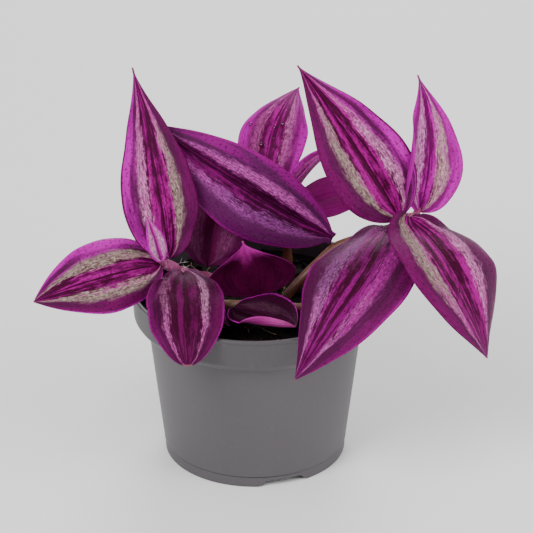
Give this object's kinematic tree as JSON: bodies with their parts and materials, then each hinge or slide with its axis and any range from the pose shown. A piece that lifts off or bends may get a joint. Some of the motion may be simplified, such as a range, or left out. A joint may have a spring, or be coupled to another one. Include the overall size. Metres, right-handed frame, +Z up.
{
  "type": "potted tradescantia",
  "caption": "Trailing house plant with silver-striped magenta leaves, rooted in a round tapered nursery pot of thin grey plastic.",
  "frame": {"origin": "under the middle of the plant's bounding box, at the height of the pot's foot", "axes": "+Z up along the pot's axis, +X to the plant's right and -Y towards the side it is seen from"},
  "size_m": [0.1921, 0.1412, 0.167],
  "materials": {
    "bright_leaf": "satin",
    "dark_leaf": "satin",
    "leaf_underside": "satin",
    "pink_stem": "satin",
    "brown_stem": "satin",
    "grey_plastic": "satin",
    "peat_soil": "matte"
  },
  "bodies": {
    "root": {"tall_left_leaf": "bright_leaf", "left_leaf": "bright_leaf", "left_front_leaf": "dark_leaf", "left_young_leaf": "bright_leaf", "inner_left_leaf": "dark_leaf", "inner_middle_leaf": "leaf_underside", "long_middle_leaf": "dark_leaf", "upper_right_leaf": "bright_leaf", "back_right_leaf": "bright_leaf", "lower_right_leaf": "dark_leaf", "right_leaf": "bright_leaf", "back_leaf": "bright_leaf", "furled_back_leaf": "bright_leaf", "back_side_leaf": "bright_leaf", "rim_leaf": "dark_leaf", "small_rim_leaf": "bright_leaf", "left_stem": "pink_stem", "short_old_stem": "pink_stem", "right_stem": "brown_stem", "back_stem": "brown_stem", "front_old_stem": "brown_stem", "pot": "grey_plastic", "potting_soil": "peat_soil"}
  },
  "joints": []
}
